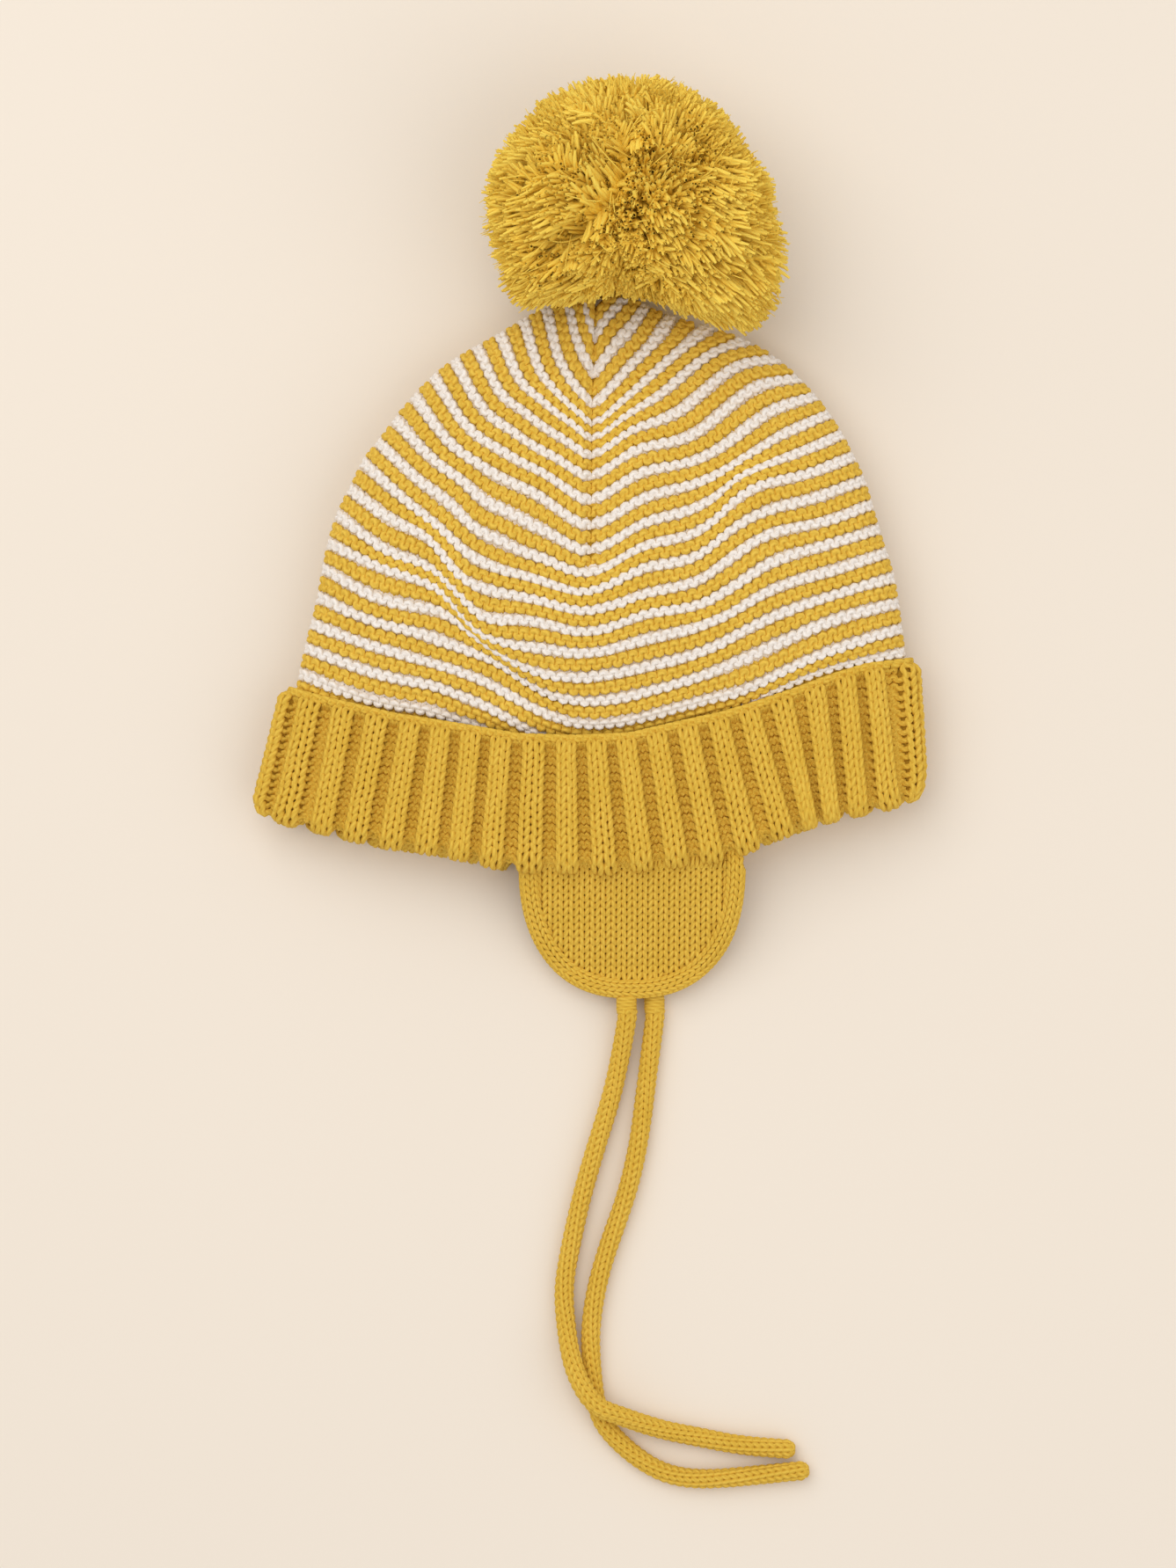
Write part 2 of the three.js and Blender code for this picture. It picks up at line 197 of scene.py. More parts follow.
# ---- materials -------------------------------------------
def yarn_material(name, base, light, deep, plies=3, relief=0.3, sheen=0.15):
    """Spun yarn: plies twisted round each other, uneven dye and loose fibre, with painted shade in the deep
    colour along the grooves between the plies.
    """
    material = bpy.data.materials.new(name)
    material.use_nodes = True
    tree = material.node_tree
    shader = tree.nodes["Principled BSDF"]
    shader.inputs["Roughness"].default_value = 0.82
    shader.inputs["Specular IOR Level"].default_value = 0.25
    shader.inputs["Sheen Weight"].default_value = sheen
    shader.inputs["Sheen Roughness"].default_value = 0.45
    shader.inputs["Sheen Tint"].default_value = (*light, 1)

    def node(kind, **settings):
        made = tree.nodes.new(kind)
        for key, value in settings.items():
            if hasattr(made, key):
                setattr(made, key, value)
            else:
                made.inputs[key.replace("_", " ")].default_value = value
        return made

    def maths(operation, a, b=0.0):
        made = node("ShaderNodeMath", operation=operation)
        for socket, value in zip(made.inputs, (a, b)):
            if isinstance(value, (int, float)):
                socket.default_value = value
            else:
                tree.links.new(value, socket)
        return made.outputs[0]

    def blend(factor, a, b):
        made = node("ShaderNodeMix", data_type="RGBA")
        tree.links.new(factor, made.inputs["Factor"])
        for socket, value in zip((made.inputs["A"], made.inputs["B"]), (a, b)):
            if isinstance(value, tuple):
                socket.default_value = (*value, 1)
            else:
                tree.links.new(value, socket)
        return made.outputs["Result"]

    place = node("ShaderNodeTexCoord").outputs["Object"]
    patches = node("ShaderNodeTexNoise", Scale=120.0, Detail=2.0)
    fibre = node("ShaderNodeTexNoise", Scale=2600.0, Detail=2.0)
    for texture in (patches, fibre):
        tree.links.new(place, texture.inputs["Vector"])
    along = node("ShaderNodeSeparateXYZ")
    tree.links.new(node("ShaderNodeUVMap", uv_map="Yarn").outputs[0], along.inputs[0])
    twist = maths("ADD", along.outputs["X"], maths("MULTIPLY", along.outputs["Y"], float(plies)))
    wave = maths("SINE", maths("MULTIPLY", twist, 2 * math.pi))
    ply = maths("ADD", maths("MULTIPLY", wave, 0.5), 0.5)

    dye = blend(patches.outputs["Fac"], base, light)
    # painted shade: the grooves between the plies are darkened towards the deep colour
    ply_groove_shaded = blend(maths("MULTIPLY", maths("SUBTRACT", 1.0, ply), 0.55), dye, deep)
    colour = blend(maths("MULTIPLY", fibre.outputs["Fac"], 0.45), ply_groove_shaded, light)
    tree.links.new(colour, shader.inputs["Base Color"])
    height = maths("ADD", maths("MULTIPLY", ply, 0.7), maths("MULTIPLY", fibre.outputs["Fac"], 0.6))
    bump = node("ShaderNodeBump", Strength=relief, Distance=0.0004)
    tree.links.new(height, bump.inputs["Height"])
    tree.links.new(bump.outputs[0], shader.inputs["Normal"])
    return material


def plain_material(name, colour, roughness=0.9, grain=40.0, amount=0.06):
    """A matt surface with a faint uneven tone."""
    material = bpy.data.materials.new(name)
    material.use_nodes = True
    tree = material.node_tree
    shader = tree.nodes["Principled BSDF"]
    shader.inputs["Roughness"].default_value = roughness
    shader.inputs["Specular IOR Level"].default_value = 0.2
    noise = tree.nodes.new("ShaderNodeTexNoise")
    noise.inputs["Scale"].default_value = grain
    place = tree.nodes.new("ShaderNodeTexCoord")
    tree.links.new(place.outputs["Object"], noise.inputs["Vector"])
    mix = tree.nodes.new("ShaderNodeMix")
    mix.data_type = "RGBA"
    mix.inputs["A"].default_value = (*(c * (1 - amount) for c in colour), 1)
    mix.inputs["B"].default_value = (*(min(1.0, c * (1 + amount)) for c in colour), 1)
    tree.links.new(noise.outputs["Fac"], mix.inputs["Factor"])
    tree.links.new(mix.outputs["Result"], shader.inputs["Base Color"])
    return material


MUSTARD = (0.76, 0.475, 0.042)
MUSTARD_LIGHT = (0.92, 0.63, 0.10)
# painted shade colour, laid in the grooves between the plies of the mustard yarns
MUSTARD_GROOVE_SHADE = (0.56, 0.30, 0.014)
mustard = yarn_material("mustard_yarn", MUSTARD, MUSTARD_LIGHT, MUSTARD_GROOVE_SHADE)
rib_mustard = yarn_material("rib_yarn", (0.71, 0.445, 0.038), (0.87, 0.59, 0.092), MUSTARD_GROOVE_SHADE)
# painted light: the pompom's yarn is a brighter copy of the mustard, to offset the shade between its strands;
# its third colour is painted shade in the ply grooves
pom_mustard_painted_light = yarn_material("pompom_yarn_painted_light", (1.0, 0.70, 0.08), (1.0, 0.80, 0.16), (0.92, 0.58, 0.05))
# the cream yarn's third colour is painted shade for the grooves between its plies
cream = yarn_material("cream_yarn", (0.92, 0.86, 0.80), (0.98, 0.93, 0.88), (0.72, 0.63, 0.54))
# painted shade: a darker mustard for the sheets behind the stitches, standing in for the shade in the gaps
# between the yarns
backing_shade = plain_material("knit_backing_painted_shade", (0.42, 0.235, 0.019), grain=900.0, amount=0.3)


# ---- camera, floor and light -----------------------------
VIEW_HEIGHT = 445.75  # mm from the top of the view to its bottom, at the hat's middle
EYE = (-0.4, -68.9, 1312.0)
HAT_MIDDLE = 12.0  # height of the hat's middle above the surface
camera = bpy.data.objects.new("camera", bpy.data.cameras.new("camera"))
camera.data.lens = camera.data.sensor_width * (EYE[2] - HAT_MIDDLE) / VIEW_HEIGHT
camera.location = [c * MM for c in EYE]
bpy.context.collection.objects.link(camera)
bpy.context.scene.camera = camera
bpy.context.scene.view_settings.view_transform = "Standard"


def area_light(name, place, aim, size, power, colour=(1, 1, 1)):
    data = bpy.data.lights.new(name, "AREA")
    data.size, data.energy, data.color = size, power, colour
    lamp = bpy.data.objects.new(name, data)
    lamp.location = place
    direction = np.array(aim) - np.array(place)
    lamp.rotation_euler = Vector(direction).to_track_quat("-Z", "Y").to_euler()
    bpy.context.collection.objects.link(lamp)


area_light("key", (-0.5, 0.55, 1.3), (0, -0.05, 0), 1.5, 10.8, (1.0, 0.985, 0.96))
area_light("fill", (0.9, -0.5, 1.1), (0, -0.05, 0), 1.5, 4.6, (1.0, 0.97, 0.95))
world = bpy.data.worlds.new("studio")
world.use_nodes = True
world.node_tree.nodes["Background"].inputs["Color"].default_value = (1.0, 0.97, 0.94, 1)
world.node_tree.nodes["Background"].inputs["Strength"].default_value = 0.60
bpy.context.scene.world = world

FLOOR_HALF = 3000.0
floor_paint = plain_material("floor", (0.88, 0.80, 0.70), roughness=0.8, grain=3.0, amount=0.02)
floor_corners = FLOOR_HALF * np.array([[-1, -1, 0], [1, -1, 0], [1, 1, 0], [-1, 1, 0]])
floor = mesh_piece("floor", floor_corners, np.array([[0, 1, 2, 3]]), floor_paint)


# ---- ties ------------------------------------------------
TIE_RADIUS = 2.85
TIE_YARN = 0.72
TIE_COLUMNS = 5
TIE_ROW = 2.15
TACK_Y, TACK_RUN = -129.9, 4.2  # where the wrapped stitches start on the flap, and how far they run
NEAR_TIE = [
    (11.1, -133.4, 5.7), (10.6, -136.8, 5.4), (9, -146, 3.6), (6.6, -157, 2.9), (3.25, -168.5, 2.87),
    (-2, -186.5, 2.87), (-5.5, -202, 2.87), (-7.2, -214.25, 2.95), (-6.6, -224, 3.9), (-4.9, -233.5, 7.0),
    (-2.1, -240.5, 8.8), (2.4, -246.1, 9.1), (8.2, -248.9, 7.9), (15, -251.6, 5.3), (23, -254.1, 3.5),
    (32, -256, 2.9), (41, -257.75, 2.87), (50.25, -258.8, 2.87), (58.5, -259.4, 2.87),
]
FAR_TIE = [
    (19.0, -133.4, 2.87), (18.6, -136.8, 2.87), (17.3, -147, 2.87), (15.9, -158, 2.87),
    (14.5, -168.5, 2.87), (10.5, -186.5, 2.87), (5.2, -202, 2.87), (1.9, -214.25, 2.87),
    (0.4, -226.25, 2.87), (0.6, -235.25, 2.87), (1.5, -243.5, 2.87), (3.4, -250.5, 2.87),
    (7.75, -256.4, 2.87), (13.75, -261.6, 2.87), (21, -265.75, 2.87), (29, -267.6, 2.87),
    (38, -267.6, 2.87), (47.25, -266.8, 2.87), (56.25, -265.9, 2.87), (62.5, -265.3, 2.87),
]


def route(points, step=0.25):
    """An even line of points through the given ones."""
    points = np.array(points, float)
    run = lengths(points)
    dense = spline(run, points, np.linspace(0, run[-1], 1200))
    run = lengths(dense)
    even = np.linspace(0, run[-1], int(run[-1] / step))
    return read_at(even, run, dense)


def read_at(place, run, values):
    """Rows of values, one for each distance in run, read at the places given."""
    return np.stack([np.interp(place, run, values[:, i]) for i in range(values.shape[1])], axis=1)


def knit_loop(t, width, reach, belly):
    """One stitch as t runs from 0 to 2 pi: how far along, and how far up, from its lowest left."""
    return width * t / (2 * math.pi) + belly * np.sin(2 * t), -reach * np.cos(t)


def knitted_cord(name, line, material):
    """A knitted tube: rows of stitches round a line."""
    tangent = unit(np.gradient(line, axis=0))
    side = unit(np.cross(tangent, [0, 0, 1.0]))
    up = np.cross(side, tangent)
    run = lengths(line)
    rows = int(run[-1] / TIE_ROW)
    t = np.linspace(0, 2 * math.pi * TIE_COLUMNS, SAMPLES * TIE_COLUMNS + 1)
    around, rise = knit_loop(t, width=2 * math.pi / TIE_COLUMNS, reach=1.35, belly=0.26)
    spread = TIE_RADIUS - TIE_YARN - 0.22 - 0.3 * np.cos(2 * t)
    strands = []
    for row in range(rows + 1):
        turn = around + 0.07 * row
        place = run[-1] * row / rows + rise
        end = np.clip((run[-1] - place) / 2.2, 0, 1)  # the last 2.2 mm close to a blunt end
        wide = spread * np.sqrt(1 - (1 - end) ** 2 * 0.8)
        place = np.clip(place, 0, run[-1] - 0.3)
        centre, s, u = (read_at(place, run, rows_of) for rows_of in (line, side, up))
        out = np.cos(turn)[:, None] * s + np.sin(turn)[:, None] * u
        strands.append((centre + wide[:, None] * out, out))
    radius = [TIE_YARN] * len(strands)
    core = line[2:-4:4]
    strands.append((core, unit(np.cross(np.gradient(core, axis=0), [1.0, 0.2, 0]))))
    radius.append(TIE_RADIUS - TIE_YARN - 0.1)
    return yarn_piece(name, strands, radius, material)


def tie_with_tack(side, points):
    """One tie, and the wrapped stitches that hold it to the flap's tip."""
    line = route(points)
    tie = knitted_cord(f"knitted_tie_{side}", line, rib_mustard)
    x, y, z = points[1]
    turn = np.linspace(0, 2 * math.pi * 4.5, 90)
    coil = np.stack([
        x + (TIE_RADIUS - 0.5) * np.cos(turn),
        TACK_Y - TACK_RUN * turn / turn[-1],
        z + (TIE_RADIUS - 0.7) * np.sin(turn),
    ], axis=1)
    out = np.stack([np.cos(turn), 0 * turn, np.sin(turn)], axis=1)
    stem = np.stack([np.full(12, x), np.linspace(TACK_Y + 0.4, y - 1, 12), np.full(12, z)], axis=1)
    wrap = [(coil, out), (stem, np.tile([0, 0, 1.0], (12, 1)))]
    tack = yarn_piece(f"tie_tack_stitches_{side}", wrap, [0.7, 1.9], rib_mustard)
    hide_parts(f"tie_{side}")
    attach(tack, f"{side}_flap")
    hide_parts(f"tie_{side}_tack")
    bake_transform(tie)


tie_with_tack("near", NEAR_TIE)
tie_with_tack("far", FAR_TIE)


# ---- crown -----------------------------------------------
# Garter stitch in narrow stripes: a white ridge and a mustard ridge by turns, counted from the top.
STITCH = 3.0
STRIPE_STEP = 6.75
GRID_ROWS = 8  # rows of the crown's grid for each stripe
LAST_STRIPE = 20.3  # under the cuff
SECTION_POWER = 2.7
SKIN = 1.75  # from the middle of the knit out to the tops of its stitches
SHARES = [-1, -0.8, -0.65, -0.55, -0.45, -0.35, -0.2, 0, 0.2, 0.4, 0.5, 0.6, 0.8, 1]
# Each white ridge: x of its left and right ends, then its y at SHARES of the way out from the middle,
# the left side's on the first line, the middle's and the right side's on the second.
STRIPES = {
    -1: (0.5, 5, [71.25, 70.25, 69.5, 69, 68.75, 68.25, 67.5,
        66.5, 67.5, 68.25, 68.75, 69.25, 70.25, 71.25]),
    0: (-1.5, 10.25, [69.5, 66.5, 64.5, 63.5, 62.5, 61.5, 59.75,
        57.75, 60.5, 63.25, 64.5, 65.5, 67.75, 70]),
    2: (-12, 23, [66.75, 54.25, 49.25, 46.75, 45, 43.25, 41.25,
        39.25, 42.75, 47.5, 50, 52.25, 57.25, 64.5]),
    4: (-25.25, 44.5, [59.5, 46.25, 42, 39.75, 37.5, 35.5, 32.5,
        29.5, 34.75, 40.25, 43.5, 47.25, 54, 57.5]),
    6: (-38.5, 59.5, [52, 38, 33, 30.25, 27.5, 25.25, 22,
        18.75, 25.25, 28.25, 30.5, 34.75, 44, 46.75]),
    8: (-50, 68.25, [41.75, 28, 22.25, 19, 16.5, 14.25, 9.5,
        4.75, 11.5, 15.5, 18, 21.5, 30, 36.5]),
    10: (-60.5, 75.25, [28.5, 17, 9.75, 3.75, 0.75, -2.25, -5.5,
        -8.75, -1.5, 2.5, 7.5, 13.75, 18.75, 24.5]),
    11: (-64.75, 78.25, [22.75, 10.75, 2.75, -3.25, -6.75, -8.75, -11.5,
        -14, -7.5, -3.75, 1.75, 7, 12, 17.75]),
    12: (-68.5, 80.5, [15, 5.25, -1, -9.5, -13.25, -15, -17,
        -19.5, -14.75, -10.5, -5.25, 0.5, 5, 10.75]),
    13: (-72, 82.5, [7.75, -2.75, -7, -12.5, -20.25, -22, -23,
        -25.5, -20.5, -17.5, -13, -7.5, -1.5, 3.75]),
    14: (-74.5, 84.75, [-0.5, -7.5, -11.25, -15.75, -23.75, -28.25, -30.25,
        -31.5, -27.5, -23.25, -19.25, -14.5, -8.75, -3.25]),
    15: (-76, 86.75, [-7.75, -16, -18.5, -20.5, -25.5, -30.75, -36.75,
        -38.25, -35.25, -30.25, -26, -21.75, -15.5, -10.25]),
    16: (-77.5, 88, [-16, -22.75, -25.75, -28.25, -31, -34, -41,
        -45.25, -42.25, -37, -33.5, -29.75, -22.25, -17.75]),
    17: (-79.25, 89, [-23.75, -29.5, -32.75, -35, -37.5, -41, -47.25,
        -51.5, -49, -44.25, -42, -38, -30.5, -25]),
    18: (-81, 89.75, [-30.75, -36.5, -39.5, -41, -44, -47.25, -54,
        -58.5, -56, -50.5, -46.25, -41.75, -35, -31.75]),
    20: (-84, 91.5, [-45.75, -51.5, -54, -55.5, -58, -61, -67.5,
        -72, -69.75, -64.25, -60.5, -56.5, -49.75, -46]),
}
# Heights of the upper side, of the outline and of the under side, by y along the middle line.
HEIGHT_Y = [-74, -57.7, -33, -6, 22, 46, 67.2, 72]
CREST = [16.5, 19.8, 26.5, 30, 29, 24, 17, 15]
MIDDLE = [12.1, 12.15, 12.6, 13, 12.6, 11.6, 10.5, 10.5]
UNDER = [5.5, 3.8, 0.4, 0, 0, 0.4, 4, 5.5]
# Creases where the crown has slumped: the line that each follows.
CREASE_LEFT = [(-46, 4), (-43.75, -2.25), (-40, -9.75), (-37.5, -17.25), (-32.5, -24.75), (-27.5, -29.75),
               (-22.5, -34), (-17.5, -38), (-7.5, -46), (0, -50)]
CREASE_RIGHT = [(47, 34), (45, 24), (41.25, 14), (38.75, -1), (36.25, -16), (35, -24)]
# The cuff's top edge, as (x, y).
CUFF_TOP = [(-86.25, -41.5), (-72, -45.25), (-55.25, -49.25), (-36.25, -52.25), (-20.25, -55), (-4.25, -55.5),
            (11.75, -54.75), (25.25, -51.5), (37.75, -48.75), (46, -46.25), (58.5, -42), (68.75, -38),
            (78.75, -34.8), (92.7, -33.3)]
DART_ROWS = 10  # the crown is sewn down the middle as far as this stripe


def seen(x, y, z):
    """Places read at the height of the hat's middle, as EYE sees them, taken to their own height."""
    scale = (EYE[2] - z) / (EYE[2] - HAT_MIDDLE)
    return EYE[0] + (x - EYE[0]) * scale, EYE[1] + (y - EYE[1]) * scale


def crease(x, y, line, step, width, reach):
    """A step in height across a line, high on its left as the line runs, fading at its ends."""
    line = np.array(line, float)
    best = np.full(x.shape, 1e9)
    signed, along = np.zeros(x.shape), np.zeros(x.shape)
    for i in range(len(line) - 1):
        d = line[i + 1] - line[i]
        size = np.hypot(*d)
        px, py = x - line[i, 0], y - line[i, 1]
        t = np.clip((px * d[0] + py * d[1]) / size**2, 0, 1)
        gap = np.hypot(px - t * d[0], py - t * d[1])
        closer = gap < best
        best = np.where(closer, gap, best)
        signed = np.where(closer, np.sign(d[0] * py - d[1] * px) * gap, signed)
        along = np.where(closer, (i + t) / (len(line) - 1), along)
    fade = smooth(along / 0.3) * smooth((1 - along) / 0.25)
    return step * np.tanh(signed / width) * np.exp(-np.abs(signed) / reach) * fade


def crown_grid():
    """The crown's middle surface, row by row, from the far seam round the left edge and the right."""
    keys = sorted(STRIPES)
    k = np.arange(-1, 20.9, 1 / GRID_ROWS)
    ends = spline(keys, [[STRIPES[n][0], STRIPES[n][1]] for n in keys], k)
    face = spline(keys, [STRIPES[n][2] for n in keys], k)
    seam_x = 0.5 + 0.012 * face[:, 7]
    left = np.stack([ends[:, 0], face[:, 0]], 1)
    right = np.stack([ends[:, 1], face[:, -1]], 1)
    for edge in (left, right):
        edge -= 1.6 * unit(edge - np.array([2.0, -20.0]))
    quarter = 110
    turn = np.linspace(0, math.pi / 2, quarter + 1)
    share = np.sin(turn) ** (2 / SECTION_POWER)
    quarters = []
    for edge, sign in ((left, -1), (right, 1)):
        x = seam_x[:, None] + share * (edge[:, :1] - seam_x[:, None])
        near_y = spline(SHARES, face.T, sign * share).T
        near_y += (edge[:, 1] - face[:, 0 if sign < 0 else -1])[:, None] * share**4
        middle_y = face[:, 7:8]
        far_y = middle_y + (edge[:, 1:] - middle_y) * share**1.2
        order = np.argsort(edge[:, 1])
        for y, near in ((near_y, True), (far_y, False)):
            outline = np.interp(y, edge[order, 1], edge[order, 0])
            out = np.clip(np.abs((x - seam_x[:, None]) / (outline - seam_x[:, None])), 0, 1)
            rise = (1 - out**SECTION_POWER) ** (1 / SECTION_POWER)
            levels = spline(HEIGHT_Y, np.stack([CREST, MIDDLE, UNDER], 1), np.clip(y, -74, 72).ravel())
            crest, middle, under = np.moveaxis(levels.reshape(y.shape + (3,)), -1, 0)
            if near:
                z = middle + (crest - SKIN - middle) * rise
                z += crease(x, y, CREASE_LEFT, step=2.3, width=2.6, reach=16) * smooth(rise * 1.3)
                z -= crease(x, y, CREASE_RIGHT, step=-1.6, width=3.5, reach=14) * smooth(rise * 1.3)
                # a shallow dent beside the middle seam
                z -= 2.6 * np.exp(-(((x - 7) / 9) ** 2) - ((y - 31) / 17) ** 2)
                # the cuff presses the crown flatter, and holds it in at its sides
                cuff_top = np.interp(x, *np.array(CUFF_TOP).T)
                z = middle + (z - middle) * (1 - 0.50 * smooth((cuff_top + 6.5 - y) / 9.5))
                px, py = seen(x, y, z)
                px = px * (1 - 0.075 * smooth((cuff_top - 1.0 - y) / 4) * share**3)
            else:
                z = middle - (middle - under - SKIN) * np.minimum(1, 1.15 * rise)
                px, py = seen(x, y, middle)
            quarters.append(np.stack([px, py, z], axis=-1))
    near_left, far_left, near_right, far_right = quarters
    ring = [far_left[:, :-1], near_left[:, ::-1][:, :-1], near_right[:, :-1], far_right[:, ::-1]]
    return np.concatenate(ring, axis=1), 2 * quarter


crown_points, SEAM_COLUMN = crown_grid()
crown = Sheet(crown_points, flip=True)


def crown_row(k, centre, reach, depth, belly, heads_in_front, start, stop):
    """One row of stitches of the crown, between two columns of its grid."""
    closed = start == 0 and stop == 2 * SEAM_COLUMN
    line_row = (k + 1) * GRID_ROWS
    columns = np.arange(start, stop + 1)
    line, _ = crown.at(np.full(len(columns), line_row), columns.astype(float))
    run = lengths(line)
    count = max(2, round(run[-1] / STITCH))
    step = run[-1] / count
    tau = np.arange(0, count * SAMPLES + (3 if closed else 1)) / SAMPLES
    t = 2 * math.pi * tau
    wander = np.interp(tau, np.arange(count + 2), rng.normal(0, 1, count + 2))
    wobble = np.interp(tau, np.arange(count + 2), rng.normal(0, 1, count + 2))
    along = tau * step + belly * np.sin(2 * t)
    if closed:
        along = along % run[-1]
    along = np.clip(along, 0, run[-1])
    up = centre - reach * (1 + 0.05 * wobble) * np.cos(t) + 0.07 * wander
    off = (-depth if heads_in_front else depth) * np.cos(t) + 0.06 * wobble
    if not closed:
        gap = np.minimum(along, run[-1] - along)
        off = off - 1.9 * np.exp(-((gap / 1.7) ** 2))  # the ends dip into the middle seam
    return crown.at(line_row - up * GRID_ROWS / STRIPE_STEP, np.interp(along, run, columns), off)


def crown_stripes(first, centre, reach, depth, belly):
    """Every second ridge of the crown from the first, each made of two rows of loops."""
    strands = []
    for k in np.arange(first, LAST_STRIPE):
        spans = [(0, SEAM_COLUMN), (SEAM_COLUMN, 2 * SEAM_COLUMN)]
        if k >= DART_ROWS:
            spans = [(0, 2 * SEAM_COLUMN)]
        for start, stop in spans:
            strands.append(crown_row(k, -centre, reach, depth, belly, True, start, stop))
            strands.append(crown_row(k, centre, reach, depth, belly, False, start, stop))
    return strands


white_ridges = crown_stripes(0, centre=0.47, reach=1.27, depth=0.86, belly=0.40)
white_rows = yarn_piece("crown_white_stripes", white_ridges, 0.90, cream)
mustard_ridges = crown_stripes(-0.5, centre=0.345, reach=1.345, depth=0.88, belly=0.40)
mustard_rows = yarn_piece("crown_mustard_stripes", mustard_ridges, 0.94, mustard)

# a sheet behind the crown's stitches in the painted-shade colour, darkening the gaps between them
lining = crown_points[::4, ::2] - 1.0 * crown.normals[::4, ::2]
crown_sheet = mesh_piece(
    "crown_fabric", lining.reshape(-1, 3), grid_faces(*lining.shape[:2], flip=True), backing_shade
)
for piece in (white_rows, mustard_rows, crown_sheet):
    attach(piece, "hat")
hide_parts("crown_near_panel", "crown_far_panel")


# ---- ribbed cuff -----------------------------------------
# Two-by-two rib, turned up: rows run round the cuff, down its outer side and up inside.
RIBS = 42
GRID_COLUMNS = 12  # columns of the cuff's grid for each rib
# The furrows between the ribs on the near side, x at the cuff's top and at its bottom edge.
FURROW_TOP = [-82.6, -74, -64.75, -55.1, -46.25, -37.75, -29.25, -20.5, -11, -2.4, 6, 14.5, 23.1, 31.75,
              40.5, 49.25, 59, 68.25, 76.5, 85]
FURROW_BOTTOM = [-90.6, -80.5, -71.25, -61.25, -51.25, -41.5, -32.5, -22.75, -11.5, -1.25, 9.75, 19.75,
                 29.75, 39.75, 49.75, 59, 65.25, 72, 80.25, 89]
LEFT_TURN, RIGHT_TURN = 0.4, 20.7  # where the rib count passes the outline
CUFF_BOTTOM = [(-94.5, -74.5), (-86, -78.75), (-76.5, -81), (-67.5, -83.25), (-58.5, -85.25), (-47, -86.75),
               (-36, -88.75), (-27, -91), (-20, -92), (-5, -92.25), (5, -92.75), (15, -91.75), (27, -90.25),
               (37.75, -89), (44.5, -86.75), (53, -83), (60.5, -80.25), (67, -78.25), (75, -76.25),
               (82.75, -75), (93.9, -71)]
CUFF_CREST = node_corners("cuff_near_turnup")[1][2]
CUFF_MIDDLE = (node_corners("cuff_near_turnup")[0][2] + node_corners("cuff_far_turnup")[1][2]) / 2
CUFF_UNDER = node_corners("cuff_far_turnup")[0][2]
RIB_SKIN = 3.1  # from the middle of the rib fabric out to the tops of its ribs
FOLD = 2.0  # radius of the turn at the cuff's bottom edge
CUFF_ROW = 2.12
INNER_ROWS = 12
OUTER_ROWS = 16


